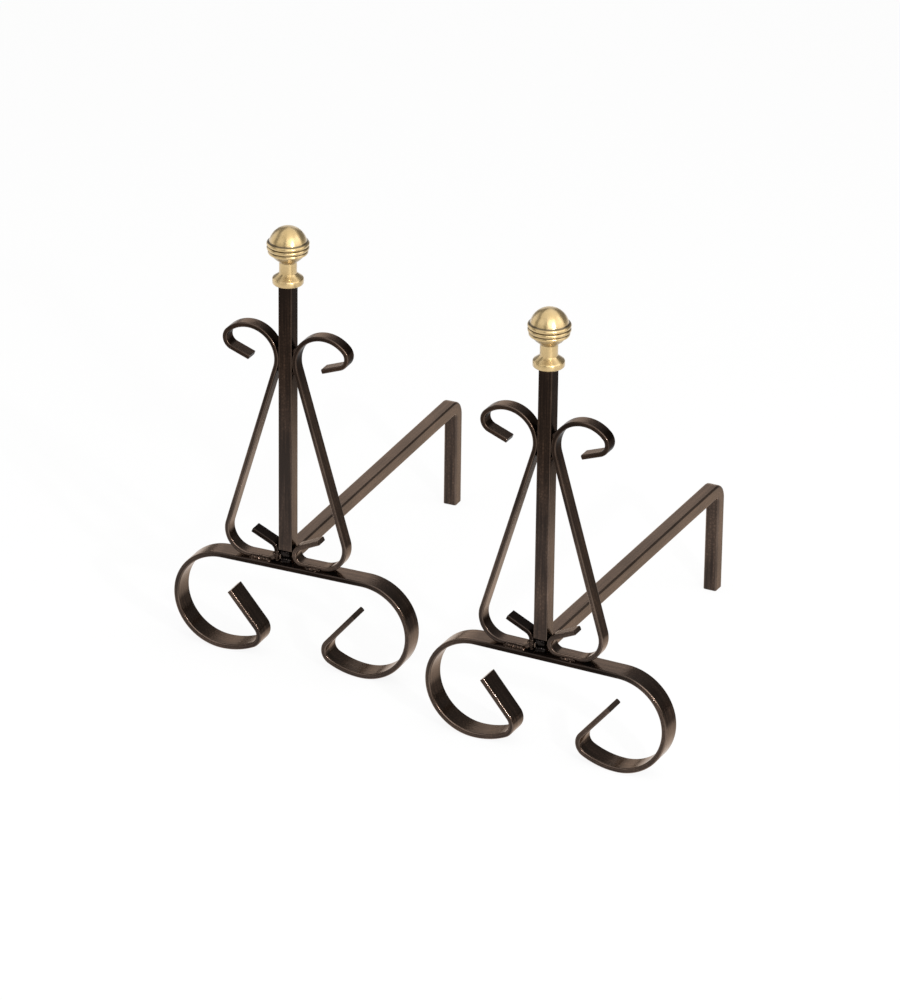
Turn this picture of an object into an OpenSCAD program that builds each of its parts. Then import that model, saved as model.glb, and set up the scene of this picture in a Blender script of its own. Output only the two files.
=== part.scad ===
// A pair of andirons (fire dogs): flat-bar scrolls, square bar and turned brass ball finials.
// Millimetres. X runs along the hearth, Y from the front into the fire, Z up from the hearth.
// The origin lies on the hearth, at the middle of the room that the pair takes up.
// Each andiron is drawn round its own post and then stood at its place on the hearth.

/* [Pair on the hearth] */
// Post of the right andiron, along the hearth
right_x = 121.1; // [112:0.1:240]
// Post of the right andiron, into the fire
right_y = -183.1; // [-240:0.1:-150]
// Post of the left andiron, along the hearth
left_x = -134.8; // [-240:0.1:-126]
// Post of the left andiron, into the fire
left_y = -136.5; // [-240:0.1:-120]
// Turn of the left andiron about its own post
left_turn = 2.6; // [-4:0.1:4]

/* [Base scroll] */
// Width of the base's flat bar, front to back
base_w = 20; // [17:0.5:30]
// Thickness of the base's flat bar
base_t = 4.5; // [3.5:0.1:6]
// Height of the base, which is also the height of its loops
base_h = 88; // [80:1:100]
// Straight top of the base between the two loops
base_straight = 127; // [120:1:150]
// How far the base's middle lies to the right of the post
base_offset = 7; // [0:0.5:9]
// Half turn of each loop's large curve
loop_turn = 180; // [180:1:184]
// Radius of the flatter stretch that a loop stands on, to the bar's middle
heel_r = 62; // [50:1:66]
// Turn of that flatter stretch
heel_turn = 27; // [24:0.5:31]
// Radius of the tight bend at a loop's tail, to the bar's middle
curl_r = 10.5; // [9.5:0.25:12]
// Slope of a loop's straight tail
tail_slope = 50; // [44:1:54]
// Length of a loop's straight tail
tail_l = 38; // [20:1:42]

/* [Post and billet bar] */
// Side of the square bar that the post and the billet bar are cut from
square_s = 12; // [11:0.5:14]
// Height of the post's top above the hearth
post_top = 337; // [325:0.5:420]
// Back of the rear leg, measured from the post's middle
bar_reach = 337; // [250:1:420]
// Radius of the bend between the billet bar and its rear leg, to the bar's middle
knee_r = 10.5; // [8.5:0.5:14]
// How far the billet bar's front end stands back from the post's face
bar_setback = 4; // [2:0.5:6]
// Width of the worn bevel along the square bar's arrises
square_bevel = 0.8; // [0.4:0.1:1.2]

/* [Side scrolls] */
// Width of the side scrolls' flat bar, front to back
side_w = 12; // [10:0.5:14]
// Thickness of the side scrolls' flat bar
side_t = 4; // [3:0.1:5]
// Lean of the long straight from upright
side_lean = 16.4; // [15.5:0.1:17.5]
// Radius of the foot's small curl beside the post, to the bar's middle
foot_curl_r = 7.7; // [6.5:0.1:9]
// Slope of the foot's straight tail
foot_tail_slope = 25; // [15:1:30]
// Length of the foot's straight tail
foot_tail_l = 19.5; // [10:0.5:20]
// Straight run that lies on the base
foot_flat = 17.5; // [16:0.5:24]
// Radius of the rounded corner between that run and the long straight, to the bar's middle
corner_r = 20; // [14:0.5:22]
// Radius of the large curve that passes the post and goes over the top, to the bar's middle
hook_r = 25.5; // [22:0.5:28]
// How far the large curve goes past its top
hook_past_top = 46; // [30:1:50]
// Radius of the hook's tight bend, to the bar's middle
hook_end_r = 9; // [8:0.5:12]
// Slope of the hook's straight tail
hook_tail_slope = 20.5; // [15:0.5:30]
// Length of the hook's straight tail
hook_tail_l = 17; // [8:0.5:18]

/* [Ball finial] */
// Diameter of the ball
ball_d = 31.5; // [29:0.5:34]
// Height of the ball's middle above the post
ball_z = 33.5; // [33:0.5:38]
// Section radius of the three rings round the ball
ring_bead_r = 1.75; // [1.4:0.05:1.9]
// Distance between the rings
ring_pitch = 3.5; // [3.4:0.1:4]
// How far the middle ring lies below the ball's middle
ring_drop = 2; // [1:0.25:3]
// How far the rings' section circles lie inside the ball's face
ring_sink = 0.1; // [0:0.1:0.6]
// Diameter of the neck
neck_d = 14.5; // [12:0.5:17]
// Diameter of the collar that sits on the post
collar_d = 25.5; // [22:0.5:28]
// Height of the collar's upright edge
collar_edge_h = 3.4; // [2:0.2:5]
// Bevel under the collar's edge
collar_bevel = 1.2; // [0.6:0.2:1.8]
// Size of the easing above the collar's edge and at the neck's foot
collar_ease = 0.8; // [0.4:0.1:1.2]
// Height of the flare from the collar up to the neck
flare_h = 4.6; // [3:0.2:6]
// Radius of the hollow between the neck and the ball
neck_fillet = 1.5; // [1:0.25:2.5]

/* [Stud] */
// Diameter of the stud that holds the finial
stud_d = 6; // [5:1:8]
// Clearance all round the stud, in the post and in the finial
stud_fit = 0.1; // [0.05:0.05:0.25]
// Length of the stud inside the post
stud_in_post = 16; // [12:1:24]
// Length of the stud inside the finial
stud_in_finial = 14; // [8:1:20]
// Free room past the stud's end in the finial
stud_end_room = 1; // [0.5:0.5:2]

/* [Welds] */
// Leg of the fillet welds at the post's foot
foot_weld = 3.5; // [2:0.5:4]
// Leg of the fillet welds along the side scrolls and the billet bar
side_weld = 2.5; // [1.5:0.25:3.5]
// Length of a weld run along a side scroll's foot
side_weld_l = 14; // [8:1:15]
// Where the welds in the notches between a side scroll and the post begin
notch_start = 4; // [3.5:0.5:6]
// Where those welds end, counted from where the two bars touch
notch_weld = 11; // [8:0.5:14]
// Width of those welds, front to back
notch_weld_w = 9; // [6:0.5:10]

/* [Hidden] */
$fn = 96;
bend_step = 3;

half_s = square_s / 2;
bar_top = base_h + square_s;
bar_front = bar_setback - half_s;
loop_r = (base_h - base_t) / 2;
loop_curl_turn = 360 - tail_slope - loop_turn - heel_turn;

// The side scroll touches the post's side with its large curve and its foot's curl.
hook_x = half_s + side_t / 2 + hook_r;
foot_curl_x = half_s + side_t / 2 + foot_curl_r;
foot_z = base_h + side_t / 2;
corner_x = foot_curl_x + foot_flat;
corner_end_x = corner_x + corner_r * cos(side_lean);
hook_start_x = hook_x - hook_r * cos(side_lean);
lean_l = (corner_end_x - hook_start_x) / sin(side_lean);
corner_end_z = foot_z + corner_r * (1 + sin(side_lean));
hook_z = corner_end_z + lean_l * cos(side_lean) + hook_r * sin(side_lean);

ball_r = ball_d / 2;
neck_r = neck_d / 2;
collar_r = collar_d / 2;
flare_z = collar_bevel + collar_edge_h;

// Colours of the finishes
bronze = "#4a3a33";
weld_bronze = "#3b302b";
brass = "#c9a768";
steel = "#8d8f92";

// ---- Shared shapes -------------------------------------------------------------------------

// Section of a bar, with its four arrises bevelled: a across, b deep
module bar_section(a, b, bevel) {
    x = a / 2;
    y = b / 2;
    polygon([
        [-x + bevel, -y], [x - bevel, -y], [x, -y + bevel], [x, y - bevel],
        [x - bevel, y], [-x + bevel, y], [-x, y - bevel], [-x, -y + bevel]
    ]);
}

// Middle line of a bent bar in the XY plane, as points [x, y, heading]. It starts along +X.
// Each step is [length] for a straight, or [radius, turn] for a bend, left turns positive.
function bar_path(steps, i = 0, x = 0, y = 0, a = 0) =
    i == len(steps) ? [[x, y, a]]
    : len(steps[i]) == 1 ? concat(
        [[x, y, a]],
        bar_path(steps, i + 1, x + steps[i][0] * cos(a), y + steps[i][0] * sin(a), a)
    )
    : let(r = steps[i][0] * sign(steps[i][1]), turn = steps[i][1])
    let(n = ceil(abs(turn) / bend_step), mid = [x - r * sin(a), y + r * cos(a)])
    concat(
        [for (k = [0 : n - 1]) bend_point(mid, r, a + turn * k / n)],
        bar_path(
            steps, i + 1, mid[0] + r * sin(a + turn), mid[1] - r * cos(a + turn), a + turn
        )
    );

// Point of a bend's middle line where the bar heads in direction a
function bend_point(mid, r, a) = [mid[0] + r * sin(a), mid[1] - r * cos(a), a];

// Point beside a point of the middle line, to its left for a positive distance
function beside(p, off) = [p[0] - off * sin(p[2]), p[1] + off * cos(p[2])];

// A flat bar of thickness t and width w whose middle line is the path, upright in the XZ plane
module bent_flat(path, t, w) {
    last = len(path) - 1;
    upright()
        linear_extrude(height = w, center = true)
            polygon(concat(
                [for (i = [0 : last]) beside(path[i], t / 2)],
                [for (i = [0 : last]) beside(path[last - i], -t / 2)]
            ));
}

// Stands a shape that was drawn in the XY plane upright in the XZ plane
module upright() {
    rotate([90, 0, 0])
        children();
}

// A rounded weld run along +X in the corner between the floor and a wall at its back
module weld_run(l, leg) {
    rotate([90, 0, 90])
        linear_extrude(height = l)
            intersection() {
                circle(r = leg, $fn = 32);
                translate([-leg, 0])
                    square(leg);
            }
}

// ---- One andiron, round its own post -------------------------------------------------------

// The base is one flat bar with a loop rolled at each end. The loops stand on the hearth.
// Its path is worked out from the middle of the straight top, and mirrored for the other half.
module base_scroll() {
    half = bar_path([
        [base_straight / 2], [loop_r, -loop_turn], [heel_r, -heel_turn],
        [curl_r, -loop_curl_turn], [tail_l]
    ]);
    last = len(half) - 1;
    mirrored = [for (i = [0 : last - 1]) [-half[last - i][0], half[last - i][1], -half[last - i][2]]];
    color(bronze)
        translate([base_offset, 0, base_h - base_t / 2])
            bent_flat(concat(mirrored, half), base_t, base_w);
}

// The square bar that carries the logs: it lies on the base, runs back and is bent down to a leg.
module billet_bar() {
    leg_y = bar_reach - half_s;
    leg_top = bar_top - half_s - knee_r;
    color(bronze) {
        translate([0, bar_front, bar_top - half_s])
            rotate([-90, 0, 0])
                linear_extrude(height = leg_y - knee_r - bar_front)
                    bar_section(square_s, square_s, square_bevel);
        translate([0, leg_y - knee_r, leg_top])
            rotate([90, 0, 90])
                rotate_extrude(angle = 90)
                    translate([knee_r, 0])
                        bar_section(square_s, square_s, square_bevel);
        translate([0, leg_y, 0])
            linear_extrude(height = leg_top)
                bar_section(square_s, square_s, square_bevel);
    }
}

// The upright square bar stands on the billet bar's end. Its top is drilled for the stud.
module post() {
    color(bronze)
        translate([0, 0, bar_top])
            difference() {
                linear_extrude(height = post_top - bar_top)
                    bar_section(square_s, square_s, square_bevel);
                translate([0, 0, post_top - bar_top - stud_in_post])
                    cylinder(d = stud_d + 2 * stud_fit, h = stud_in_post + 1);
            }
}

// One side scroll, on the +X side: foot tail, foot curl, run on the base, corner, long straight,
// large curve past the post and over the top, tight bend, hook tail
module side_scroll() {
    tail_end_x = foot_curl_x - foot_curl_r * sin(foot_tail_slope) + foot_tail_l * cos(foot_tail_slope);
    tail_end_z = foot_z + foot_curl_r * (1 + cos(foot_tail_slope)) + foot_tail_l * sin(foot_tail_slope);
    color(bronze)
        translate([tail_end_x, 0, tail_end_z])
            rotate([0, -180 - foot_tail_slope, 0])
                bent_flat(
                    bar_path([
                        [foot_tail_l], [foot_curl_r, 90 - foot_tail_slope], [foot_curl_r, 90],
                        [foot_flat], [corner_r, 90 + side_lean], [lean_l],
                        [hook_r, -side_lean], [hook_r, -90 - hook_past_top],
                        [hook_end_r, hook_past_top + hook_tail_slope - 180], [hook_tail_l]
                    ]),
                    side_t, side_w
                );
}

// Half profile of the turned finial, before the stud's hole is taken out
module finial_profile() {
    difference() {
        union() {
            translate([0, ball_z])
                circle(r = ball_r);
            for (i = [-1, 0, 1])
                translate([ring_x(i), ball_z - ring_drop + i * ring_pitch])
                    circle(r = ring_bead_r, $fn = 32);
            translate([0, flare_z])
                square([neck_r, ball_z - flare_z]);
            neck_hollow();
            collar_profile();
        }
        translate([-ball_d, 0])
            square([ball_d, 2 * ball_d]);
    }
}

// Distance of a ring's section circle from the finial's axis
function ring_x(i) = sqrt(pow(ball_r, 2) - pow(i * ring_pitch - ring_drop, 2)) - ring_sink;

// The small hollow where the neck runs into the ball, set where both faces meet its circle
module neck_hollow() {
    hollow_x = neck_r + neck_fillet;
    hollow_z = ball_z - sqrt(pow(ball_r + neck_fillet, 2) - pow(hollow_x, 2));
    difference() {
        polygon([
            [neck_r - 1, hollow_z], [hollow_x, hollow_z],
            [ball_r * hollow_x / (ball_r + neck_fillet), ball_z - ball_r * (ball_z - hollow_z)
                / (ball_r + neck_fillet)],
            [neck_r - 1, ball_z - ball_r / 2]
        ]);
        translate([hollow_x, hollow_z])
            circle(r = neck_fillet, $fn = 32);
    }
}

// The collar: bevelled underneath, upright at its edge, then flared up to the neck
module collar_profile() {
    neck_foot_z = flare_z + flare_h;
    polygon([
        [0, 0], [collar_r - collar_bevel, 0], [collar_r, collar_bevel], [collar_r, flare_z],
        [collar_r - collar_ease, flare_z + 1.4 * collar_ease],
        [neck_r + collar_ease, neck_foot_z], [neck_r, neck_foot_z + collar_ease],
        [0, neck_foot_z + collar_ease]
    ]);
}

// The turned brass finial screws onto the stud and sits on the post's top.
module finial() {
    color(brass)
        translate([0, 0, post_top])
            rotate_extrude()
                difference() {
                    finial_profile();
                    translate([-1, -1])
                        square([
                            1 + stud_d / 2 + stud_fit,
                            1 + stud_in_finial + stud_end_room
                        ]);
                }
}

// The stud stands on the bottom of the post's hole and reaches into the finial.
module finial_stud() {
    color(steel)
        translate([0, 0, post_top - stud_in_post])
            cylinder(d = stud_d, h = stud_in_post + stud_in_finial);
}

// Welds at the foot of the post: behind it on the billet bar, and under its front face
module foot_welds() {
    l = square_s - 2;
    color(weld_bronze) {
        translate([l / 2, half_s, bar_top])
            rotate([0, 0, 180])
                weld_run(l, foot_weld);
        translate([-l / 2, bar_front, base_h])
            weld_run(l, foot_weld);
    }
}

// Welds that hold the billet bar to the base: along its sides and under it at the back
module bar_welds() {
    side_l = base_w / 2 - side_w / 2;
    color(weld_bronze) {
        for (m = [0, 1])
            mirror([m, 0, 0])
                translate([half_s, side_w / 2, base_h])
                    rotate([0, 0, 90])
                        weld_run(side_l, side_weld);
        translate([half_s - 1, base_w / 2, base_h])
            rotate([0, 0, 180])
                mirror([0, 0, 1])
                    weld_run(square_s - 2, side_weld);
    }
}

// Welds of both side scrolls: front and back of each foot, and the notches beside the post
module scroll_welds() {
    color(weld_bronze)
        for (m = [0, 1])
            mirror([m, 0, 0]) {
                translate([foot_curl_x + foot_flat / 2 - side_weld_l / 2, -side_w / 2, base_h])
                    weld_run(side_weld_l, side_weld);
                translate([foot_curl_x + foot_flat / 2 + side_weld_l / 2, side_w / 2, base_h])
                    rotate([0, 0, 180])
                        weld_run(side_weld_l, side_weld);
                translate([half_s, notch_weld_w / 2, hook_z])
                    upright()
                        linear_extrude(height = notch_weld_w) {
                            upper_notch();
                            lower_notch();
                        }
            }
}

// Weld in the notch between the post's side and a side scroll, above where they touch
module upper_notch() {
    outer_r = hook_r + side_t / 2;
    difference() {
        translate([0, notch_start])
            square([outer_r - sqrt(pow(outer_r, 2) - pow(notch_weld, 2)), notch_weld - notch_start]);
        translate([outer_r, 0])
            circle(r = outer_r, $fn = 192);
    }
}

// The same below, where the side scroll runs straight from the end of its large curve
module lower_notch() {
    outer_r = hook_r + side_t / 2;
    cross_z = outer_r * (1 / cos(side_lean) - 1) / tan(side_lean);
    slant = tan(side_lean);
    polygon([
        [0, -notch_start - 1], [(notch_start + 1 - cross_z) * slant, -notch_start - 1],
        [(notch_weld - cross_z) * slant, -notch_weld], [0, -notch_weld]
    ]);
}

// ---- The pair ------------------------------------------------------------------------------

// Stands one andiron's piece at its place on the hearth
module stand(left) {
    translate(left ? [left_x, left_y, 0] : [right_x, right_y, 0])
        rotate([0, 0, left ? left_turn : 0])
            children();
}

module right_base_scroll() { stand(false) base_scroll(); }
module right_billet_bar() { stand(false) billet_bar(); }
module right_post() { stand(false) post(); }
module right_outer_scroll() { stand(false) side_scroll(); }
module right_inner_scroll() { stand(false) mirror([1, 0, 0]) side_scroll(); }
module right_finial() { stand(false) finial(); }
module right_finial_stud() { stand(false) finial_stud(); }
module right_foot_welds() { stand(false) foot_welds(); }
module right_bar_welds() { stand(false) bar_welds(); }
module right_scroll_welds() { stand(false) scroll_welds(); }

module left_base_scroll() { stand(true) base_scroll(); }
module left_billet_bar() { stand(true) billet_bar(); }
module left_post() { stand(true) post(); }
module left_outer_scroll() { stand(true) mirror([1, 0, 0]) side_scroll(); }
module left_inner_scroll() { stand(true) side_scroll(); }
module left_finial() { stand(true) finial(); }
module left_finial_stud() { stand(true) finial_stud(); }
module left_foot_welds() { stand(true) foot_welds(); }
module left_bar_welds() { stand(true) bar_welds(); }
module left_scroll_welds() { stand(true) scroll_welds(); }

right_base_scroll();
right_billet_bar();
right_post();
right_outer_scroll();
right_inner_scroll();
right_finial();
right_finial_stud();
right_foot_welds();
right_bar_welds();
right_scroll_welds();
left_base_scroll();
left_billet_bar();
left_post();
left_outer_scroll();
left_inner_scroll();
left_finial();
left_finial_stud();
left_foot_welds();
left_bar_welds();
left_scroll_welds();
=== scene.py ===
import math

import bmesh
import bpy
from mathutils import Matrix, Vector


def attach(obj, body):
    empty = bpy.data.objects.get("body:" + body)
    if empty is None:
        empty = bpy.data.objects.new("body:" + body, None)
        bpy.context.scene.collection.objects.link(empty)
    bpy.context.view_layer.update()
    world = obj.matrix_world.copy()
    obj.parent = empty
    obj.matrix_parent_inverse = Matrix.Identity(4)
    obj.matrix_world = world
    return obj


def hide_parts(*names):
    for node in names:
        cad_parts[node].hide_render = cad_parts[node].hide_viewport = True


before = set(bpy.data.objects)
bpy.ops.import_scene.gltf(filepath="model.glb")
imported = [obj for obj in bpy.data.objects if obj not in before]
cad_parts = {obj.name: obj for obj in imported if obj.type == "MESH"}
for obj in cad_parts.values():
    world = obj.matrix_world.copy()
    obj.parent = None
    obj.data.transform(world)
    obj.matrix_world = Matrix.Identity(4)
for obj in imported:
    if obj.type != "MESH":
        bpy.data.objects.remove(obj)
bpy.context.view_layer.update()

# ---- Base bars -----------------------------------------------------------------------------
# A flat steel bar, 20 x 4.5 mm, bent cold: straight on top, a big loop at each end, a flatter
# heel that stands on the hearth, and a tail turned back into the loop. The other bars are
# welded on its top, and all the steel is sprayed with a dark bronze hammered lacquer.
MM = 0.001
# Sizes are in millimetres and degrees. A stand is where an andiron stands: x, y and turn.
stands = {"right": (121.1, -183.1, 0), "left": (-134.8, -136.5, 2.6)}
base_width, base_thickness, base_height = 20, 4.5, 88
base_straight, base_offset = 127, 7
loop_radius = (base_height - base_thickness) / 2
heel_radius, heel_turn = 62, 27
curl_radius, tail_slope, tail_length = 10.5, 50, 38
base_arris, arris_steps, base_wear = 1.3, 4, 0.7
# The base's front and rear arrises are drawn darker near the middle: within this much of their
# edges, above this share of the base's height, and fading out from the middle.
darken_rim, darken_low, darken_reach, darken_fade = 1.1, 0.7, 85, 40


def colour(code):
    """An sRGB hex code as the linear colour that Blender works in."""
    parts = [int(code[i:i + 2], 16) / 255 for i in (1, 3, 5)]
    linear = [c / 12.92 if c <= 0.04045 else ((c + 0.055) / 1.055) ** 2.4 for c in parts]
    return (*linear, 1)


def add(tree, kind, inputs=None, **settings):
    """Adds a node with its settings, its plain input values and its links."""
    node = tree.nodes.new(kind)
    for name, value in settings.items():
        setattr(node, name, value)
    for key, value in (inputs or {}).items():
        if isinstance(value, bpy.types.NodeSocket):
            tree.links.new(value, node.inputs[key])
        else:
            node.inputs[key].default_value = value
    return node


def new_material(name):
    """An empty material with its node tree, its surface node and its Object coordinates."""
    material = bpy.data.materials.new(name)
    material.use_nodes = True
    tree = material.node_tree
    tree.nodes.clear()
    surface = add(tree, "ShaderNodeBsdfPrincipled")
    add(tree, "ShaderNodeOutputMaterial", {"Surface": surface.outputs["BSDF"]})
    place = add(tree, "ShaderNodeTexCoord").outputs["Object"]
    return material, tree, surface, place


def hammered_lacquer(name, hollow, crown, rubbed, pebble_mm, roughness, flake):
    """Hammered stoving lacquer with copper flake in it: a dark brown that takes a warm sheen
    from what is pale around it, shallow pebbles with darker hollows, faint streaks along the
    rolled bar, a few copper specks, glossy arrises that the lacquer has drawn back from, a
    painted shade that gets darker towards the top and on what leans back, darker patches
    marked near some welds, and dust on what faces up, thinned out low down so that the low
    parts keep a painted shade. The pebbles are as wide as real ones, and the flake is drawn
    coarser than it is, so that single specks show."""
    material, tree, surface, place = new_material(name)
    pebbles = add(
        tree, "ShaderNodeTexVoronoi", {"Vector": place, "Scale": 1 / (pebble_mm * MM)},
        feature="DISTANCE_TO_EDGE")
    dome = add(
        tree, "ShaderNodeMapRange",
        {"Value": pebbles.outputs["Distance"], "From Max": 0.34, "To Min": 0.4},
        interpolation_type="SMOOTHSTEP")
    speckle = add(
        tree, "ShaderNodeTexNoise",
        {"Vector": place, "Scale": 1 / (1.3 * MM), "Detail": 3, "Roughness": 0.65})
    drift = add(
        tree, "ShaderNodeTexNoise",
        {"Vector": place, "Scale": 1 / (38 * MM), "Detail": 2, "Roughness": 0.5})
    section = add(tree, "ShaderNodeAttribute", attribute_name="section")
    along = add(tree, "ShaderNodeAttribute", attribute_name="along")
    drawn_out = add(
        tree, "ShaderNodeMath", {0: along.outputs["Fac"], 1: 0.03}, operation="MULTIPLY")
    on_bar = add(
        tree, "ShaderNodeVectorMath",
        {0: section.outputs["Vector"],
         1: add(tree, "ShaderNodeCombineXYZ", {"Z": drawn_out.outputs[0]}).outputs[0]},
        operation="ADD")
    streak = add(
        tree, "ShaderNodeTexNoise",
        {"Vector": on_bar.outputs[0], "Scale": 1 / (1.6 * MM), "Detail": 2})
    mottle = add(
        tree, "ShaderNodeMath",
        {0: speckle.outputs["Fac"], 1: 0.4, 2: drift.outputs["Fac"]},
        operation="MULTIPLY_ADD")
    mixed = add(
        tree, "ShaderNodeMath",
        {0: streak.outputs["Fac"], 1: 1.4, 2: mottle.outputs[0]}, operation="MULTIPLY_ADD")
    tone = add(
        tree, "ShaderNodeMapRange",
        {"Value": mixed.outputs[0], "From Min": 1.17, "From Max": 1.72})
    film = add(
        tree, "ShaderNodeMath", {0: tone.outputs[0], 1: dome.outputs[0]}, operation="MULTIPLY")
    body = add(
        tree, "ShaderNodeMix", {0: film.outputs[0], 6: colour(hollow), 7: colour(crown)},
        data_type="RGBA")
    flakes = add(
        tree, "ShaderNodeTexVoronoi", {"Vector": place, "Scale": 1 / (1.15 * MM)})
    split = add(tree, "ShaderNodeSeparateColor", {"Color": flakes.outputs["Color"]})
    copper = add(
        tree, "ShaderNodeMapRange",
        {"Value": split.outputs[0], "From Min": 0.88, "From Max": 1.0, "To Max": flake})
    flecked = add(
        tree, "ShaderNodeMix",
        {0: copper.outputs[0], 6: body.outputs[2], 7: colour("#7d5a45")}, data_type="RGBA")
    arris = add(tree, "ShaderNodeAttribute", attribute_name="arris")
    patchy = add(
        tree, "ShaderNodeMapRange",
        {"Value": drift.outputs["Fac"], "From Min": 0.35, "From Max": 0.65, "To Min": 0.4,
         "To Max": 1.0})
    wear = add(
        tree, "ShaderNodeMath", {0: arris.outputs["Fac"], 1: patchy.outputs[0]},
        operation="MULTIPLY")
    worn = add(
        tree, "ShaderNodeMix",
        {0: wear.outputs[0], 6: flecked.outputs[2], 7: colour(rubbed)}, data_type="RGBA")
    height = add(tree, "ShaderNodeSeparateXYZ", {"Vector": place})
    facing = add(
        tree, "ShaderNodeSeparateXYZ",
        {"Vector": add(tree, "ShaderNodeNewGeometry").outputs["Normal"]})
    # Dust on what faces up, thinned out low down, so that low faces such as the loops' inner
    # bottoms keep a painted shade.
    level = add(
        tree, "ShaderNodeMapRange",
        {"Value": facing.outputs["Z"], "From Min": 0.75, "From Max": 1.0})
    low_shade_fade = add(
        tree, "ShaderNodeMapRange",
        {"Value": height.outputs["Z"], "From Min": 20 * MM, "From Max": 70 * MM,
         "To Min": 0.1})
    dust_and_low_shade = add(
        tree, "ShaderNodeMath", {0: level.outputs[0], 1: low_shade_fade.outputs[0]},
        operation="MULTIPLY")
    # Painted shade: darker towards the top of the andiron, except on what faces up.
    top_shade = add(
        tree, "ShaderNodeMapRange",
        {"Value": height.outputs["Z"], "From Min": 165 * MM, "From Max": 275 * MM},
        interpolation_type="SMOOTHSTEP")
    kept = add(
        tree, "ShaderNodeMath", {0: 1.0, 1: dust_and_low_shade.outputs[0]}, operation="SUBTRACT")
    high = add(
        tree, "ShaderNodeMath", {0: top_shade.outputs[0], 1: kept.outputs[0]}, operation="MULTIPLY")
    # Painted shade on faces that lean back, from nearly upright to about 50 degrees from level.
    leaning = add(
        tree, "ShaderNodeMapRange",
        {"Value": facing.outputs["Z"], "From Min": 0.06, "From Max": 0.22, "To Max": 0.85},
        interpolation_type="SMOOTHSTEP")
    flatter = add(
        tree, "ShaderNodeMapRange",
        {"Value": facing.outputs["Z"], "From Min": 0.4, "From Max": 0.6, "To Min": 1.0,
         "To Max": 0.0},
        interpolation_type="SMOOTHSTEP")
    leant = add(
        tree, "ShaderNodeMath", {0: leaning.outputs[0], 1: flatter.outputs[0]},
        operation="MULTIPLY")
    # Darker patches marked on the bars; they also take the painted shade.
    darken_where = add(tree, "ShaderNodeAttribute", attribute_name="darkened")
    darker = add(
        tree, "ShaderNodeMath", {0: leant.outputs[0], 1: darken_where.outputs["Fac"]},
        operation="MAXIMUM")
    # All of the painted shade, which the darker patches join.
    painted_shade = add(
        tree, "ShaderNodeMath", {0: high.outputs[0], 1: darker.outputs[0]},
        operation="MAXIMUM")
    darkened = add(
        tree, "ShaderNodeMix",
        {0: darken_where.outputs["Fac"], 6: worn.outputs[2], 7: colour("#9c9490")},
        data_type="RGBA", blend_type="MULTIPLY")
    # The painted shade darkens the colour.
    painted_shade_mix = add(
        tree, "ShaderNodeMix",
        {0: painted_shade.outputs[0], 6: darkened.outputs[2], 7: colour("#c2bab2")},
        data_type="RGBA", blend_type="MULTIPLY")
    dust_and_low_shade_amount = add(
        tree, "ShaderNodeMath", {0: dust_and_low_shade.outputs[0], 1: 0.22}, operation="MULTIPLY")
    dulled_and_shaded = add(
        tree, "ShaderNodeMix",
        {0: dust_and_low_shade_amount.outputs[0], 6: painted_shade_mix.outputs[2], 7: colour("#6e625e")}, data_type="RGBA")
    # The warm sheen of the metal turns grey under the painted shade.
    sheen = add(
        tree, "ShaderNodeMix",
        {0: painted_shade.outputs[0], 6: colour("#ffe7d4"), 7: colour("#b6b6b6")}, data_type="RGBA")
    gloss = add(
        tree, "ShaderNodeMapRange",
        {"Value": tone.outputs[0], "To Min": roughness + 0.07, "To Max": roughness - 0.03})
    even = add(
        tree, "ShaderNodeMapRange",
        {"Value": arris.outputs["Fac"], "To Min": 0.4, "To Max": 0.03})
    grit = add(
        tree, "ShaderNodeBump",
        {"Height": speckle.outputs["Fac"], "Strength": even.outputs[0], "Distance": 0.036 * MM})
    hammered = add(
        tree, "ShaderNodeBump",
        {"Height": dome.outputs[0], "Normal": grit.outputs["Normal"],
         "Strength": even.outputs[0], "Distance": 0.11 * MM})
    # The coat is thinner under the painted shade, and fuller on the worn arrises.
    face_coat = add(
        tree, "ShaderNodeMapRange", {"Value": painted_shade.outputs[0], "To Min": 0.22, "To Max": 0.05})
    coat = add(
        tree, "ShaderNodeMath", {0: wear.outputs[0], 1: 0.65, 2: face_coat.outputs[0]},
        operation="MULTIPLY_ADD")
    for socket, source in (
            ("Base Color", dulled_and_shaded.outputs[2]), ("Roughness", gloss.outputs[0]),
            ("Specular Tint", sheen.outputs[2]), ("Normal", hammered.outputs["Normal"]),
            ("Coat Normal", hammered.outputs["Normal"]), ("Coat Weight", coat.outputs[0])):
        tree.links.new(source, surface.inputs[socket])
    surface.inputs["Metallic"].default_value = 0.97
    surface.inputs["Coat Roughness"].default_value = 0.12
    return material


bronze_lacquer = hammered_lacquer(
    "hammered_bronze_lacquer", hollow="#2c231e", crown="#57463b", rubbed="#806b5c",
    pebble_mm=2.6, roughness=0.19, flake=0.04)


def bent_line(steps, start=(0, 0), heading=0, every=2.5):
    """Middle line of a bent bar in the XZ plane, in millimetres. A step is (length,) for a
    straight or (radius, turn) for a bend, with turns towards +Z from +X positive. A bend has
    a point every few degrees."""
    x, z = start
    angle = math.radians(heading)
    points = [(x, z)]
    for step in steps:
        if len(step) == 1:
            x, z = x + step[0] * math.cos(angle), z + step[0] * math.sin(angle)
            points.append((x, z))
            continue
        radius, turn = math.copysign(step[0], step[1]), math.radians(step[1])
        mid_x, mid_z = x - radius * math.sin(angle), z + radius * math.cos(angle)
        count = math.ceil(abs(step[1]) / every)
        for k in range(1, count + 1):
            a = angle + turn * k / count
            points.append((mid_x + radius * math.sin(a), mid_z - radius * math.cos(a)))
        angle += turn
        x, z = points[-1]
    return points


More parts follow.
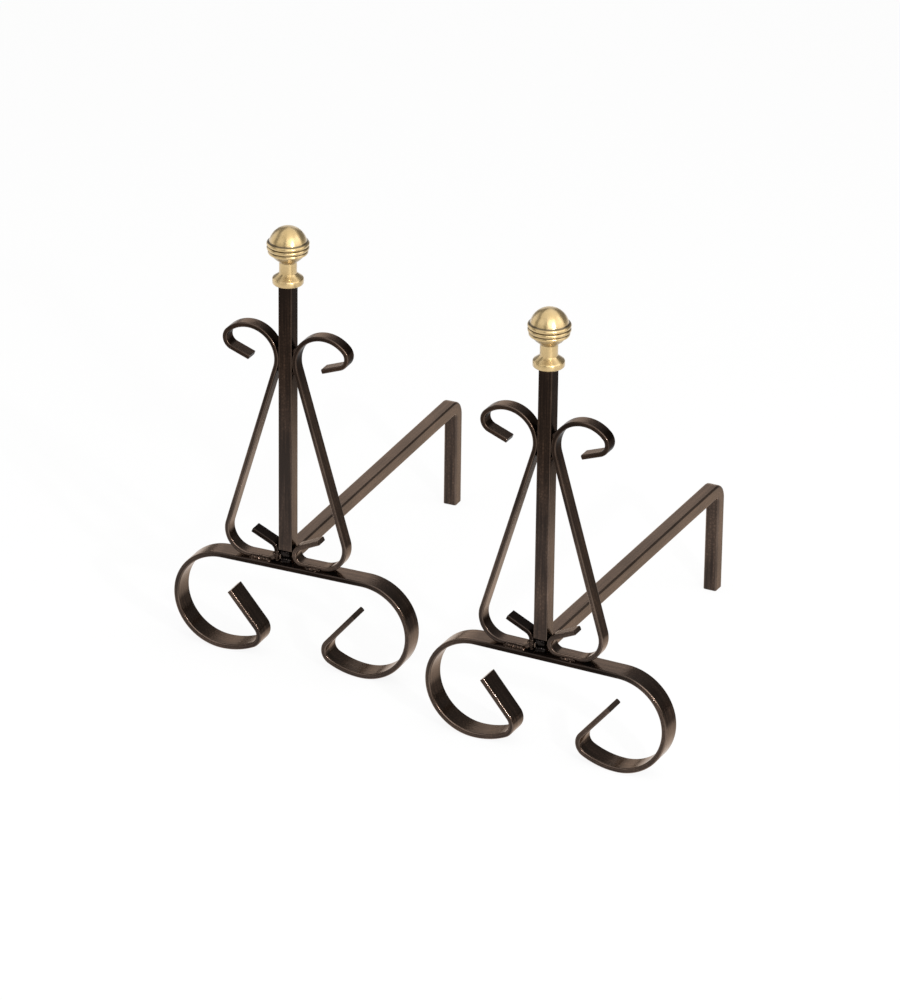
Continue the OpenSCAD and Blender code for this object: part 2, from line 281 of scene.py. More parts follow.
def bar_tree():
    """Sweeps a bar's section, with its rounded arrises, along a middle line in the XZ plane.
    The wear is nothing at an arris's two edges and full in its middle."""
    tree = bpy.data.node_groups.new("bent bar", "GeometryNodeTree")
    face = tree.interface
    face.new_socket("Middle line", in_out="INPUT", socket_type="NodeSocketGeometry")
    for name in ("Width", "Thickness", "Arris", "Wear"):
        face.new_socket(name, in_out="INPUT", socket_type="NodeSocketFloat")
    face.new_socket("Lacquer", in_out="INPUT", socket_type="NodeSocketMaterial")
    face.new_socket("Bar", in_out="OUTPUT", socket_type="NodeSocketGeometry")
    given = add(tree, "NodeGroupInput").outputs
    line = add(tree, "GeometryNodeMeshToCurve", {"Mesh": given["Middle line"]})
    held = add(
        tree, "GeometryNodeSetCurveNormal",
        {"Curve": line.outputs["Curve"], "Normal": (0, 1, 0)}, mode="FREE")
    length = add(tree, "GeometryNodeSplineParameter")
    measured = add(
        tree, "GeometryNodeStoreNamedAttribute",
        {"Geometry": held.outputs["Curve"], "Name": "along", "Value": length.outputs["Length"]},
        data_type="FLOAT", domain="POINT")
    section = add(
        tree, "GeometryNodeCurvePrimitiveQuadrilateral",
        {"Width": given["Width"], "Height": given["Thickness"]})
    eased = add(
        tree, "GeometryNodeFilletCurve",
        {"Curve": section.outputs["Curve"], "Count": arris_steps, "Radius": given["Arris"]},
        mode="POLY")
    number = add(tree, "GeometryNodeInputIndex")
    step = add(
        tree, "ShaderNodeMath", {0: number.outputs[0], 1: arris_steps + 1},
        operation="FLOORED_MODULO")
    corner = add(
        tree, "ShaderNodeMath", {0: step.outputs[0], 1: math.pi / arris_steps},
        operation="MULTIPLY")
    rounded = add(tree, "ShaderNodeMath", {0: corner.outputs[0]}, operation="SINE")
    bared = add(
        tree, "ShaderNodeMath", {0: rounded.outputs[0], 1: given["Wear"]},
        operation="MULTIPLY")
    marked = add(
        tree, "GeometryNodeStoreNamedAttribute",
        {"Geometry": eased.outputs["Curve"], "Name": "arris", "Value": bared.outputs[0]},
        data_type="FLOAT", domain="POINT")
    spot = add(tree, "GeometryNodeInputPosition")
    placed = add(
        tree, "GeometryNodeStoreNamedAttribute",
        {"Geometry": marked.outputs["Geometry"], "Name": "section", "Value": spot.outputs[0]},
        data_type="FLOAT_VECTOR", domain="POINT")
    swept = add(
        tree, "GeometryNodeCurveToMesh",
        {"Curve": measured.outputs["Geometry"], "Profile Curve": placed.outputs["Geometry"],
         "Fill Caps": True})
    smooth = add(tree, "GeometryNodeSetShadeSmooth", {"Geometry": swept.outputs["Mesh"]})
    real = add(
        tree, "GeometryNodeRealizeInstances", {"Geometry": smooth.outputs["Geometry"]})
    finished = add(
        tree, "GeometryNodeSetMaterial",
        {"Geometry": real.outputs["Geometry"], "Material": given["Lacquer"]})
    add(tree, "NodeGroupOutput", {"Bar": finished.outputs["Geometry"]})
    return tree


bent_bar = bar_tree()


def grow(name, tree, paths, sizes, legs=()):
    """Runs a tree on a set of paths, with its inputs given by name and a leg for each path
    where the tree reads one, breaks the edges of sawn ends, and returns the mesh."""
    lines = bpy.data.meshes.new(name)
    corners, edges = [], []
    for path in paths:
        first = len(corners)
        corners += [Vector(p) * MM for p in path]
        edges += [(first + k, first + k + 1) for k in range(len(path) - 1)]
    lines.from_pydata(corners, edges, [])
    if legs:
        leg = lines.attributes.new("leg", "FLOAT", "POINT")
        leg.data.foreach_set(
            "value", [size * MM for size, path in zip(legs, paths) for _ in path])
    blank = bpy.data.objects.new(name, lines)
    bpy.context.scene.collection.objects.link(blank)
    nodes = blank.modifiers.new("grow", "NODES")
    nodes.node_group = tree
    for item in tree.interface.items_tree:
        if item.in_out == "INPUT" and item.name in sizes:
            nodes[item.identifier] = sizes[item.name]
    sawn = blank.modifiers.new("sawn ends", "BEVEL")
    sawn.limit_method, sawn.angle_limit = "ANGLE", math.radians(60)
    sawn.width, sawn.segments = 0.35 * MM, 2
    blank.modifiers.new("flat faces", "WEIGHTED_NORMAL")
    bpy.context.view_layer.update()
    shape = bpy.data.meshes.new_from_object(
        blank.evaluated_get(bpy.context.evaluated_depsgraph_get()))
    bpy.data.objects.remove(blank)
    return shape


def bar_mesh(name, points, width, thickness, arris, wear):
    """A bent bar as a mesh, from its middle line and its section in millimetres."""
    return grow(
        name, bent_bar, [[(x, 0, z) for x, z in points]],
        {"Width": width * MM, "Thickness": thickness * MM, "Arris": arris * MM, "Wear": wear,
         "Lacquer": bronze_lacquer})


def put(shape, side, part, turn=0):
    """Stands a copy of a mesh on its andiron, in place of the CAD node of the same name."""
    x, y, stand_turn = stands[side]
    place = Matrix.Translation((x * MM, y * MM, 0)) @ Matrix.Rotation(
        math.radians(stand_turn + turn), 4, "Z")
    mesh = shape.copy()
    mesh.transform(place)
    piece = bpy.data.objects.new(f"{side}_{part}_shown", mesh)
    bpy.context.scene.collection.objects.link(piece)
    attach(piece, "root")
    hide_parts(f"{side}_{part}")
    return piece


straight_parts = 4
right_half = bent_line(
    [(base_straight / 2 / straight_parts,)] * straight_parts
    + [(loop_radius, -180), (heel_radius, -heel_turn),
       (curl_radius, tail_slope + heel_turn - 180), (tail_length,)],
    start=(0, base_height - base_thickness / 2))
base_line = [(base_offset - x, z) for x, z in right_half[:0:-1]]
base_line += [(base_offset + x, z) for x, z in right_half]
base_bar = bar_mesh(
    "base bar", base_line, base_width, base_thickness, base_arris, base_wear)


def darken_where(shape, amount):
    """Marks where a bar is drawn darker, by a function of a point in millimetres."""
    marks = shape.attributes.new("darkened", "FLOAT", "POINT")
    for corner, spot in zip(shape.vertices, marks.data):
        spot.value = min(max(amount(*(corner.co / MM)), 0), 1)


# The base's front and rear arrises are drawn darker, most in the middle.
darken_where(base_bar, lambda x, y, z: (
    (abs(y) > base_width / 2 - darken_rim and z > darken_low * base_height)
    * (darken_reach - abs(x - base_offset)) / darken_fade))
for side in stands:
    put(base_bar, side, "base_scroll")

# ---- Billet bars ---------------------------------------------------------------------------
# A 12 mm square bar that carries the logs. Its front end lies on the base and is welded to it,
# and it is bent down at the back, over a small radius, into the rear leg. Same lacquer.
square = 12
bar_top = base_height + square
bar_front, bar_reach = -2, 337
knee_radius, knee_step = 10.5, 5
bar_arris, bar_wear = 1.7, 0.45

billet_line = bent_line(
    [(bar_reach - square / 2 - knee_radius - bar_front,), (knee_radius, -90),
     (bar_top - square / 2 - knee_radius,)],
    start=(bar_front, bar_top - square / 2), every=knee_step)
billet_bar = bar_mesh("billet bar", billet_line, square, square, bar_arris, bar_wear)
for side in stands:
    put(billet_bar, side, "billet_bar", turn=90)

# ---- Posts ---------------------------------------------------------------------------------
# The same square bar, upright on the billet bar's front end and welded there. Its top is
# drilled for the finial's stud, which the finial's collar covers.
post_top = 337
post_arris, post_wear = 0.8, 0.8

post_bar = bar_mesh(
    "post", [(0, bar_top), (0, post_top)], square, square, post_arris, post_wear)
for side in stands:
    put(post_bar, side, "post")

# ---- Side scrolls --------------------------------------------------------------------------
# Flat bar, 12 x 4 mm, bent cold in one piece: a short tail and a curl beside the post's foot,
# a run that is welded on the base, a rounded corner, a long straight that leans in to the
# post, and a hook that touches the post's side and turns out and down to a short tail.
side_width, side_thickness, side_lean = 12, 4, 16.4
foot_curl_radius, foot_slope, foot_tail, foot_run = 7.7, 25, 19.5, 17.5
corner_radius = 20
hook_radius, hook_past_top, hook_end_radius, hook_slope, hook_tail = 25.5, 46, 9, 20.5, 17
side_arris, side_wear = 1.1, 0.8
# The left-hand scrolls' curls and foot tails are drawn darker, up to a height over the foot and
# to a reach past the curl, fading in just above the foot.
foot_darken_past, foot_darken_top, foot_darken_from, foot_darken_fade = 17, 40, 3, 6

touch_x = square / 2 + side_thickness / 2
foot_curl_x = touch_x + foot_curl_radius
foot_z = base_height + side_thickness / 2
lean = math.radians(side_lean)
slope = math.radians(foot_slope)
corner_end_x = foot_curl_x + foot_run + corner_radius * math.cos(lean)
hook_start_x = touch_x + hook_radius * (1 - math.cos(lean))
straight = (corner_end_x - hook_start_x) / math.sin(lean)
hook_z = foot_z + corner_radius * (1 + math.sin(lean)) + straight * math.cos(lean)
hook_z += hook_radius * math.sin(lean)
side_line = bent_line(
    [(foot_tail,), (foot_curl_radius, 180 - foot_slope), (foot_run,),
     (corner_radius, 90 + side_lean), (straight,),
     (hook_radius, -90 - side_lean - hook_past_top),
     (hook_end_radius, hook_past_top + hook_slope - 180), (hook_tail,)],
    start=(foot_curl_x - foot_curl_radius * math.sin(slope) + foot_tail * math.cos(slope),
           foot_z + foot_curl_radius * (1 + math.cos(slope)) + foot_tail * math.sin(slope)),
    heading=180 + foot_slope)
plus_scroll = bar_mesh(
    "scroll", side_line, side_width, side_thickness, side_arris, side_wear)
minus_scroll = bar_mesh(
    "mirrored scroll", [(-x, z) for x, z in side_line], side_width, side_thickness, side_arris,
    side_wear)

# Each left-hand scroll's curl and foot tail, beside its larger foot weld, are drawn darker.
darken_where(minus_scroll, lambda x, y, z: (
    (-x < foot_curl_x + foot_darken_past and z < foot_z + foot_darken_top)
    * (z - foot_z - foot_darken_from) / foot_darken_fade))
put(plus_scroll, "right", "outer_scroll")
put(minus_scroll, "right", "inner_scroll")
put(minus_scroll, "left", "outer_scroll")
put(plus_scroll, "left", "inner_scroll")

# ---- Welds ---------------------------------------------------------------------------------
# Arc-welded beads where the bars meet: at the post's foot, beside and under the billet bar, at
# the front and back of each side scroll's foot, and in the notches beside the post. They were
# left as welded, with their ripples, and sprayed over.
ripple, ripple_low, lump, unevenness = 2.1, 0.84, 3.4, 2.2
end_power, end_size = 6, 0.02
run_points, round_points = 40, 20
drop_radius, drop_smallest, drop_largest, drop_spread = 1, 0.45, 1.25, 2.6

# On the beads the same lacquer stands in smaller pebbles, without flake. On the welds at the
# post's foot it is drawn nearly black, a painted shade for the recess under the post, and
# glossier.
weld_lacquer = hammered_lacquer(
    "lacquered_weld_metal", hollow="#2a211c", crown="#574539", rubbed="#57463b",
    pebble_mm=1.7, roughness=0.18, flake=0.0)
shade_black_lacquer = hammered_lacquer(
    "shade_black_weld_lacquer", hollow="#120e0d", crown="#261e1a", rubbed="#261e1a",
    pebble_mm=1.7, roughness=0.12, flake=0.0)


def bead_tree():
    """A weld bead along each path, as thick as the path says: a round run with ripples, round
    ends and uneven sides, and with drops of spatter that stuck beside it."""
    tree = bpy.data.node_groups.new("weld bead", "GeometryNodeTree")
    face = tree.interface
    face.new_socket("Runs", in_out="INPUT", socket_type="NodeSocketGeometry")
    for name in ("Ripple", "Unevenness", "Spread"):
        face.new_socket(name, in_out="INPUT", socket_type="NodeSocketFloat")
    for name in ("Drops", "Seed"):
        face.new_socket(name, in_out="INPUT", socket_type="NodeSocketInt")
    face.new_socket("Lacquer", in_out="INPUT", socket_type="NodeSocketMaterial")
    face.new_socket("Beads", in_out="OUTPUT", socket_type="NodeSocketGeometry")
    given = add(tree, "NodeGroupInput").outputs
    runs = add(tree, "GeometryNodeMeshToCurve", {"Mesh": given["Runs"]})
    fine = add(
        tree, "GeometryNodeResampleCurve",
        {"Curve": runs.outputs["Curve"], "Count": run_points}, mode="COUNT")
    leg = add(
        tree, "GeometryNodeInputNamedAttribute", {"Name": "leg"}, data_type="FLOAT")
    where = add(tree, "GeometryNodeSplineParameter")
    ends = add(
        tree, "ShaderNodeMapRange",
        {"Value": where.outputs["Factor"], "To Min": -1, "To Max": 1})
    steep = add(
        tree, "ShaderNodeMath", {0: ends.outputs[0], 1: end_power}, operation="POWER")
    taper = add(
        tree, "ShaderNodeMath", {0: 1.0, 1: steep.outputs[0]}, operation="SUBTRACT")
    turns = add(
        tree, "ShaderNodeMath", {0: where.outputs["Length"], 1: given["Ripple"]},
        operation="DIVIDE")
    phase = add(
        tree, "ShaderNodeMath", {0: turns.outputs[0], 1: math.pi}, operation="MULTIPLY")
    wave = add(tree, "ShaderNodeMath", {0: phase.outputs[0]}, operation="SINE")
    lift = add(tree, "ShaderNodeMath", {0: wave.outputs[0]}, operation="ABSOLUTE")
    swell = add(
        tree, "ShaderNodeMapRange",
        {"Value": lift.outputs[0], "To Min": ripple_low, "To Max": 1.0})
    root = add(tree, "ShaderNodeMath", {0: taper.outputs[0], 1: 0.5}, operation="POWER")
    size = add(
        tree, "ShaderNodeMath", {0: root.outputs[0], 1: swell.outputs[0]},
        operation="MULTIPLY")
    clear = add(
        tree, "ShaderNodeMath", {0: size.outputs[0], 1: end_size}, operation="MAXIMUM")
    radius = add(
        tree, "ShaderNodeMath", {0: clear.outputs[0], 1: leg.outputs["Attribute"]},
        operation="MULTIPLY")
    ring = add(
        tree, "GeometryNodeCurvePrimitiveCircle",
        {"Resolution": round_points, "Radius": 1.0}, mode="RADIUS")
    bead = add(
        tree, "GeometryNodeCurveToMesh",
        {"Curve": fine.outputs["Curve"], "Profile Curve": ring.outputs["Curve"],
         "Scale": radius.outputs[0], "Fill Caps": True})
    spots = add(
        tree, "GeometryNodeCurveToPoints",
        {"Curve": runs.outputs["Curve"], "Count": given["Drops"]}, mode="COUNT")
    low = add(
        tree, "ShaderNodeVectorMath", {0: (-1, -1, -0.25), "Scale": given["Spread"]},
        operation="SCALE")
    high = add(
        tree, "ShaderNodeVectorMath", {0: (1, 1, 0.25), "Scale": given["Spread"]},
        operation="SCALE")
    throw = add(
        tree, "FunctionNodeRandomValue",
        {0: low.outputs[0], 1: high.outputs[0], "Seed": given["Seed"]},
        data_type="FLOAT_VECTOR")
    thrown = add(
        tree, "GeometryNodeSetPosition",
        {"Geometry": spots.outputs["Points"], "Offset": throw.outputs[0]})
    drop = add(
        tree, "GeometryNodeMeshIcoSphere", {"Radius": drop_radius * MM, "Subdivisions": 3})
    drop_size = add(
        tree, "FunctionNodeRandomValue",
        {2: drop_smallest, 3: drop_largest, "Seed": given["Seed"]}, data_type="FLOAT")
    spatter = add(
        tree, "GeometryNodeInstanceOnPoints",
        {"Points": thrown.outputs["Geometry"], "Instance": drop.outputs["Mesh"],
         "Scale": drop_size.outputs[1]})
    loose = add(
        tree, "GeometryNodeRealizeInstances", {"Geometry": spatter.outputs["Instances"]})
    both = add(
        tree, "GeometryNodeJoinGeometry", {"Geometry": bead.outputs["Mesh"]})
    tree.links.new(loose.outputs["Geometry"], both.inputs["Geometry"])
    uneven = add(
        tree, "ShaderNodeTexNoise", {"Scale": 1 / (lump * MM), "Detail": 1})
    centred = add(
        tree, "ShaderNodeVectorMath", {0: uneven.outputs["Color"], 1: (0.5, 0.5, 0.5)},
        operation="SUBTRACT")
    shift = add(
        tree, "ShaderNodeVectorMath",
        {0: centred.outputs[0], "Scale": given["Unevenness"]}, operation="SCALE")
    lumpy = add(
        tree, "GeometryNodeSetPosition",
        {"Geometry": both.outputs["Geometry"], "Offset": shift.outputs[0]})
    smooth = add(tree, "GeometryNodeSetShadeSmooth", {"Geometry": lumpy.outputs["Geometry"]})
    real = add(
        tree, "GeometryNodeRealizeInstances", {"Geometry": smooth.outputs["Geometry"]})
    finished = add(
        tree, "GeometryNodeSetMaterial",
        {"Geometry": real.outputs["Geometry"], "Material": given["Lacquer"]})
    add(tree, "NodeGroupOutput", {"Beads": finished.outputs["Geometry"]})
    return tree


weld_bead = bead_tree()


def beads(name, runs, drops, seed, lacquer):
    """Weld beads as one mesh, from runs of (leg, start, end) in millimetres."""
    return grow(
        name, weld_bead, [run[1:] for run in runs],
        {"Ripple": ripple * MM, "Unevenness": unevenness * MM, "Spread": drop_spread * MM,
         "Drops": drops, "Seed": seed, "Lacquer": lacquer},
        legs=[run[0] for run in runs])


# At the post's foot: one run behind it, and two that fill the recess under its front, all in
# the nearly black lacquer that paints the recess's shade.
half, reach = square / 2, 5
recess_low, recess_high, recess_reach = base_height + 1.6, bar_top - 3.6, 4.5
foot_beads = beads(
    "foot welds",
    [(3.2, (-reach, half, bar_top), (reach, half, bar_top)),
     (4.0, (-reach, -2.6, recess_low), (reach, -2.6, recess_low)),
     (3.4, (-recess_reach, -2.9, recess_high), (recess_reach, -2.9, recess_high))],
    drops=4, seed=3, lacquer=shade_black_lacquer)

# Between billet bar and base: one run on each side, and one along the base's rear edge.
bar_leg, base_rear = 2.3, base_width / 2
bar_beads = beads(
    "bar welds",
    [(bar_leg, (s * half, half, base_height), (s * half, base_rear, base_height))
     for s in (-1, 1)]
    + [(bar_leg, (-reach, base_rear, base_height), (reach, base_rear, base_height))],
    drops=4, seed=5, lacquer=weld_lacquer)

# On the side scrolls: the front of the left foot, larger and longer than the others, the three
# other sides of the feet, the notches above and below where the hooks touch the post, and a
# short upright run between the left curl and the post.
foot_mid, foot_reach = foot_curl_x + foot_run / 2, 7
notch_x, notch_reach, notch_rises, notch_leg = half + 0.6, 4.5, (8.5, -9.5), 2.3
scroll_beads = beads(
    "scroll welds",
    [(3.6, (-foot_mid - 8, -half, base_height), (-foot_mid + 12, -half, base_height))]
    + [(leg, (s * foot_mid - foot_reach, y, base_height),
        (s * foot_mid + foot_reach, y, base_height))
       for s, y, leg in ((1, -half, 2.2), (-1, half, 2.5), (1, half, 2.5))]
    + [(notch_leg, (s * notch_x, -notch_reach, hook_z + up),
        (s * notch_x, notch_reach, hook_z + up))
       for s in (-1, 1) for up in notch_rises]
    + [(2.0, (-half - 1.2, -5.2, base_height + 1), (-half - 1.6, -5.2, base_height + 11))],
    drops=7, seed=8, lacquer=weld_lacquer)
for side in stands:
    put(foot_beads, side, "foot_welds")
    put(bar_beads, side, "bar_welds")
    put(scroll_beads, side, "scroll_welds")

# ---- Finials -------------------------------------------------------------------------------
# Turned from a brass bar and left satin from the lathe: a collar that sits on the post, a
# flare, a neck and a ball with three raised rings just below its middle. It screws on a stud.
ball_radius, ball_z = 15.75, 33.5
ring_bead, ring_pitch, ring_drop, ring_sink = 1.75, 3.5, 2, 0.1
neck_radius, neck_hollow = 7.25, 1.5
collar_radius, collar_bevel, collar_edge, collar_ease, flare_height = 12.75, 0.7, 3.9, 0.4, 4.6
edge_round, edge_lean, lip_height = 0.2, 0.15, 1.4
flare_curve, flare_short, profile_steps = 1.2, 0.3, 8
bore_radius, bore_depth = 3.1, 15
rings_angle, rings_span, ring_step, ball_step = -7, 18, 0.5, 2.5
# The grooves' tarnish is drawn dark enough to paint their shade too, and the ball's underside
# is given a painted shade.
groove_tarnish_and_shade, groove_margin, groove_depth, groove_fade = 0.85, 0.6, 1.3, 0.7
under_shade, under_margin = 0.38, 3
lathe_steps, sharp_angle = 128, 38


def satin_brass(name):
    """Turned brass, left satin under clear lacquer: fine tool rings round the piece that draw
    its highlights out upwards, a slightly uneven sheen from handling, a paler gleam from the
    lacquer, and browner metal in the grooves, where it has dulled, drawn dark enough to paint
    the grooves' shade too, with a painted shade on the ball's underside. The tool rings are
    drawn coarser than real ones, so that they show."""
    material, tree, surface, place = new_material(name)
    split = add(tree, "ShaderNodeSeparateXYZ", {"Vector": place})
    tool = add(
        tree, "ShaderNodeTexNoise",
        {"W": split.outputs["Z"], "Scale": 1 / (0.45 * MM), "Detail": 2},
        noise_dimensions="1D")
    handled = add(
        tree, "ShaderNodeTexNoise", {"Vector": place, "Scale": 1 / (9 * MM), "Detail": 3})
    tint = add(
        tree, "ShaderNodeMix",
        {0: handled.outputs["Fac"], 6: colour("#bc9f66"), 7: colour("#dfc595")},
        data_type="RGBA")
    gloss = add(
        tree, "ShaderNodeMapRange",
        {"Value": handled.outputs["Fac"], "To Min": 0.38, "To Max": 0.3})
    lathe = add(
        tree, "ShaderNodeBump",
        {"Height": tool.outputs["Fac"], "Strength": 0.3, "Distance": 0.02 * MM})
    round_it = add(tree, "ShaderNodeAttribute", attribute_name="round_it")
    tarnish_and_shade = add(tree, "ShaderNodeAttribute", attribute_name="tarnish_and_shade")
    # Tarnish in the grooves, dark enough to paint their shade too, and a painted shade on the
    # ball's underside.
    dulled_and_shaded = add(
        tree, "ShaderNodeMix",
        {0: tarnish_and_shade.outputs["Fac"], 6: tint.outputs[2], 7: colour("#3b2f1d")},
        data_type="RGBA")
    for socket, source in (
            ("Base Color", dulled_and_shaded.outputs[2]), ("Roughness", gloss.outputs[0]),
            ("Normal", lathe.outputs["Normal"]), ("Tangent", round_it.outputs["Vector"])):
        tree.links.new(source, surface.inputs[socket])
    surface.inputs["Metallic"].default_value = 1
    surface.inputs["Anisotropic"].default_value = 0.7
    surface.inputs["Anisotropic Rotation"].default_value = 0.25
    surface.inputs["Coat Weight"].default_value = 0.7
    surface.inputs["Coat Roughness"].default_value = 0.25
    return material


brass = satin_brass("satin_turned_brass")


def ball_outline(lowest):
    """The ball's outline with its rings, as (radius, height), up from an angle below level.
    Its points are closest together round the rings."""
    rings = []
    for i in (-1, 0, 1):
        rise = i * ring_pitch - ring_drop
        rings.append(
            Vector((math.sqrt(ball_radius ** 2 - rise ** 2) - ring_sink, rise)))
    points = []
    angle = lowest
    while angle < 90:
        ray = Vector((math.cos(math.radians(angle)), math.sin(math.radians(angle))))
        reach = ball_radius
        for middle in rings:
            aside = abs(middle.cross(ray))
            if aside < ring_bead:
                reach = max(reach, middle.dot(ray) + math.sqrt(ring_bead ** 2 - aside ** 2))
        points.append((reach * ray.x, ball_z + reach * ray.y))
        angle += ring_step if abs(angle - rings_angle) < rings_span else ball_step
    return points + [(0, ball_z + ball_radius)]


def finial_outline():
    """Half outline of the finial, from the bore's roof down, out and up to the ball's top."""
    edge_z = collar_bevel + collar_edge
    lip_z = edge_z + lip_height * collar_ease
    neck_z = edge_z + flare_height
    points = [(0, bore_depth), (bore_radius, bore_depth), (bore_radius, 0)]
    points += [(collar_radius - collar_bevel, 0)]
    points += [(collar_radius - edge_round, collar_bevel - edge_round)]
    points += [(collar_radius, collar_bevel + edge_round), (collar_radius, edge_z - edge_round)]
    points += [(collar_radius - edge_lean, edge_z + edge_round)]
    points += [(collar_radius - collar_ease, lip_z)]
    wide = collar_radius - collar_ease - neck_radius
    for k in range(1, profile_steps + 1):
        part = k / profile_steps
        points.append((
            neck_radius + wide * (1 - part) ** flare_curve,
            lip_z + (neck_z - edge_z - flare_short) * part))
    hollow_x = neck_radius + neck_hollow
    drop = math.sqrt((ball_radius + neck_hollow) ** 2 - hollow_x ** 2)
    meet = math.degrees(math.atan2(-drop, hollow_x))
    for k in range(profile_steps + 1):
        a = math.radians(180 + meet * k / profile_steps)
        points.append(
            (hollow_x + neck_hollow * math.cos(a), ball_z - drop + neck_hollow * math.sin(a)))
    return points + ball_outline(meet + 1)


def tarnish_and_shade_at(r, z):
    """How dark a point is drawn: most in the grooves beside the rings, as tarnish that
    polishing has left there, dark enough to paint the grooves' shade too, and some on the
    ball's underside as a painted shade."""
    below_rings = ball_z - ring_drop - z
    if abs(below_rings) > 1.5 * ring_pitch + groove_margin:
        return under_shade if 0 < below_rings < ball_radius - under_margin else 0
    depth = (groove_depth - math.hypot(r, z - ball_z) + ball_radius) / groove_fade
    return groove_tarnish_and_shade * min(max(depth, 0), 1)


def turned(name, outline, material):
    """Turns a half outline in millimetres round the Z axis into a closed mesh, with the way
    round and the tarnish and painted shade marked at each point, and sets it on the post's top."""
    shape = bmesh.new()
    corners = [shape.verts.new((r * MM, 0, z * MM)) for r, z in outline]
    edges = [shape.edges.new(pair) for pair in zip(corners, corners[1:])]
    bmesh.ops.spin(
        shape, geom=corners + edges, cent=(0, 0, 0), axis=(0, 0, 1),
        angle=math.tau, steps=lathe_steps, use_merge=True)
    bmesh.ops.remove_doubles(shape, verts=shape.verts, dist=1e-6)
    bmesh.ops.recalc_face_normals(shape, faces=shape.faces)
    for face in shape.faces:
        face.smooth = True
    mesh = bpy.data.meshes.new(name)
    shape.to_mesh(mesh)
    shape.free()
    mesh.set_sharp_from_angle(angle=math.radians(sharp_angle))
    around = mesh.attributes.new("round_it", "FLOAT_VECTOR", "POINT")
    for corner, spot in zip(mesh.vertices, around.data):
        spot.vector = Vector((-corner.co.y, corner.co.x, 0)).normalized()
    dark = mesh.attributes.new("tarnish_and_shade", "FLOAT", "POINT")
    for corner, spot in zip(mesh.vertices, dark.data):
        spot.value = tarnish_and_shade_at(corner.co.xy.length / MM, corner.co.z / MM)
    mesh.transform(Matrix.Translation((0, 0, post_top * MM)))
    mesh.materials.append(material)
    return mesh


finial = turned("finial", finial_outline(), brass)
for side in stands:
    put(finial, side, "finial")

# ---- Studs ---------------------------------------------------------------------------------
# A plain stud of bright drawn steel rod holds each finial on. It sits in the hole in the
# post's top, the finial is screwed down on it, and nothing of it shows.
def bright_steel(name):
    """Bright drawn steel: a grey metal with fine draw lines along the rod."""
    material, tree, surface, place = new_material(name)
    drawn = add(tree, "ShaderNodeMapping", {"Vector": place, "Scale": (1, 1, 0.02)})
    lines = add(
        tree, "ShaderNodeTexNoise",
        {"Vector": drawn.outputs["Vector"], "Scale": 1 / (0.2 * MM), "Detail": 2})
    tint = add(
        tree, "ShaderNodeMix",
        {0: lines.outputs["Fac"], 6: colour("#85878a"), 7: colour("#a9abad")},
        data_type="RGBA")
    tree.links.new(tint.outputs[2], surface.inputs["Base Color"])
    surface.inputs["Metallic"].default_value = 1
    surface.inputs["Roughness"].default_value = 0.35
    return material


steel = bright_steel("bright_drawn_steel")
for side in stands:
    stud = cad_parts[f"{side}_finial_stud"]
    stud.data.materials[0] = steel

# ---- Floor, light and camera ---------------------------------------------------------------
# A plain pale studio floor under soft lights: a wide box overhead, boxes at the front and on
# both sides, a small key light to the right of the camera that draws the thin lines on the
# arrises, and a weak screen at the back left. The camera has the photograph's angle.
def matte_floor(name):
    """Pale matte floor paint with the faintest unevenness. The camera, and the metal that
    mirrors it, see it lifted to white, with what is left of the shadows."""
    material, tree, surface, place = new_material(name)
    cloud = add(tree, "ShaderNodeTexNoise", {"Vector": place, "Scale": 1.5, "Detail": 2})
    tint = add(
        tree, "ShaderNodeMix",
        {0: cloud.outputs["Fac"], 6: colour("#f4f4f3"), 7: colour("#f7f7f6")},
        data_type="RGBA")
    tree.links.new(tint.outputs[2], surface.inputs["Base Color"])
    surface.inputs["Roughness"].default_value = 0.9
    surface.inputs["Specular IOR Level"].default_value = 0.1
    white = add(tree, "ShaderNodeEmission", {"Color": colour("#ffffff"), "Strength": 1})
    ray = add(tree, "ShaderNodeLightPath").outputs
    mirrored = add(
        tree, "ShaderNodeMath", {0: ray["Is Glossy Ray"], 1: ray["Is Transmission Ray"]},
        operation="ADD")
    seen = add(
        tree, "ShaderNodeMath", {0: ray["Is Camera Ray"], 1: mirrored.outputs[0]},
        operation="MAXIMUM")
    lift = add(tree, "ShaderNodeMath", {0: seen.outputs[0], 1: 0.9}, operation="MULTIPLY")
    lifted = add(
        tree, "ShaderNodeMixShader",
        {0: lift.outputs[0], 1: surface.outputs["BSDF"], 2: white.outputs[0]})
    tree.links.new(
        lifted.outputs[0], tree.get_output_node("ALL").inputs["Surface"])
    return material


# The floor's half width and the hair's breadth that it lies below the feet, in metres.
floor_half, floor_drop = 6, 0.0003
floor_mesh = bpy.data.meshes.new("floor")
floor_mesh.from_pydata(
    [(x * floor_half, y * floor_half, -floor_drop)
     for x, y in ((-1, -1), (1, -1), (1, 1), (-1, 1))], [], [(0, 1, 2, 3)])
floor_mesh.materials.append(matte_floor("matte_floor_paint"))
floor = bpy.data.objects.new("floor", floor_mesh)
bpy.context.scene.collection.objects.link(floor)


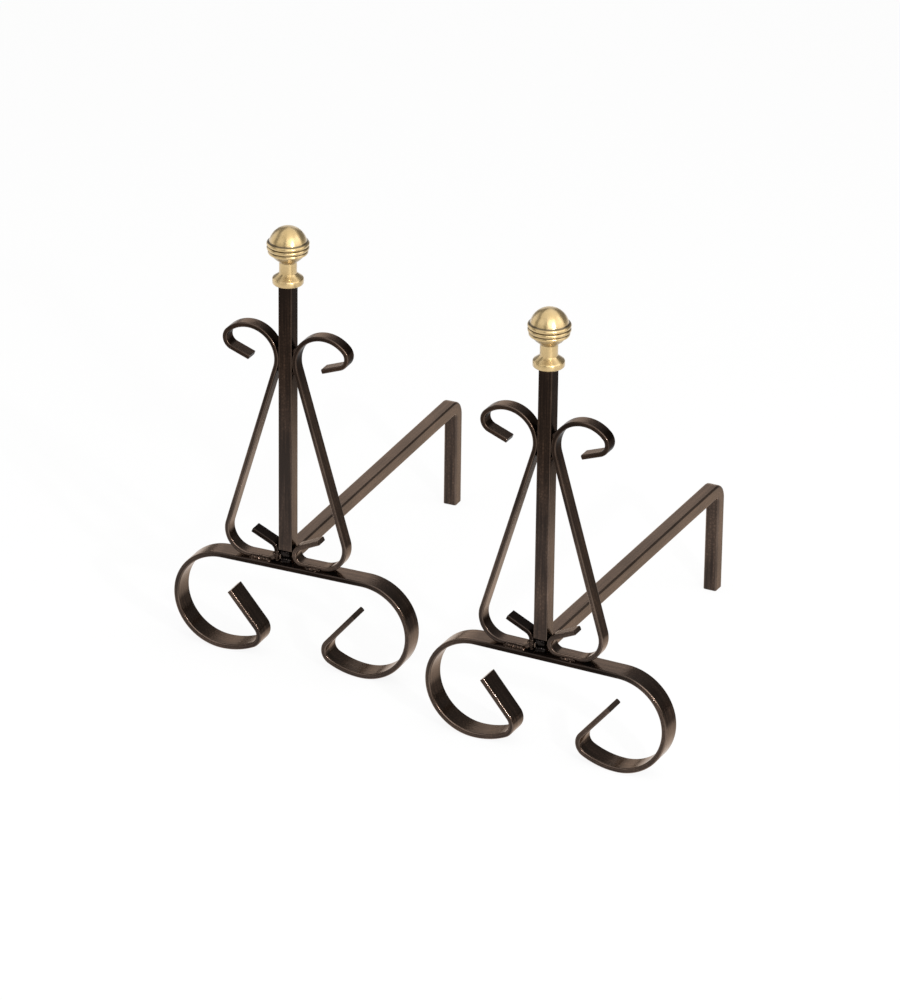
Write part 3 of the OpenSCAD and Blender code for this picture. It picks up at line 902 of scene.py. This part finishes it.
def softbox(name, place, aim, width, power):
    """A square soft light at a place, turned to a point, with its width in metres and its
    power in watts."""
    lamp = bpy.data.lights.new(name, "AREA")
    lamp.shape, lamp.size, lamp.energy = "SQUARE", width, power
    box = bpy.data.objects.new(name, lamp)
    box.location = place
    box.rotation_euler = (Vector(aim) - Vector(place)).to_track_quat("-Z", "Y").to_euler()
    box.visible_camera = False
    bpy.context.scene.collection.objects.link(box)


softbox("overhead", (0.2, 0.15, 2.2), (0.1, -0.1, 0), 3.0, 28)
softbox("key", (1.55, -1.25, 1.0), (0, -0.1, 0.15), 0.08, 18)
softbox("front right", (1.2, -1.6, 1.5), (0, -0.15, 0.25), 1.8, 24)
softbox("right", (2.0, 0.1, 1.3), (0, -0.15, 0.25), 2.0, 20)
softbox("front left", (-0.9, -1.9, 1.6), (0, -0.15, 0.25), 1.8, 10)
softbox("left", (-2.1, -0.1, 0.95), (0, -0.15, 0.3), 1.6, 7)
softbox("screen", (-0.95, 1.75, 0.85), (0, 0, 0.2), 1.1, 2.9)

world = bpy.data.worlds.new("studio")
world.use_nodes = True
world.node_tree.nodes["Background"].inputs["Color"].default_value = colour("#ffffff")
world.node_tree.nodes["Background"].inputs["Strength"].default_value = 0.23
bpy.context.scene.world = world
bpy.context.scene.view_settings.view_transform = "Standard"

camera_place = Vector((1.963614, -4.041586, 2.252548))
azimuth, drop_angle, roll = math.radians(26.54), math.radians(25.43), math.radians(0.72)
back = Vector((
    math.sin(azimuth) * math.cos(drop_angle), -math.cos(azimuth) * math.cos(drop_angle),
    math.sin(drop_angle)))
level = Vector((math.cos(azimuth), math.sin(azimuth), 0))
rise = back.cross(level)
across = level * math.cos(roll) + rise * math.sin(roll)
upward = rise * math.cos(roll) - level * math.sin(roll)
lens = bpy.data.cameras.new("camera")
lens.sensor_width, lens.lens = 36, 216
lens.clip_end = 50
camera = bpy.data.objects.new("camera", lens)
camera.matrix_world = Matrix.Translation(camera_place) @ Matrix(
    (across, upward, back)).transposed().to_4x4()
bpy.context.scene.collection.objects.link(camera)
bpy.context.scene.camera = camera
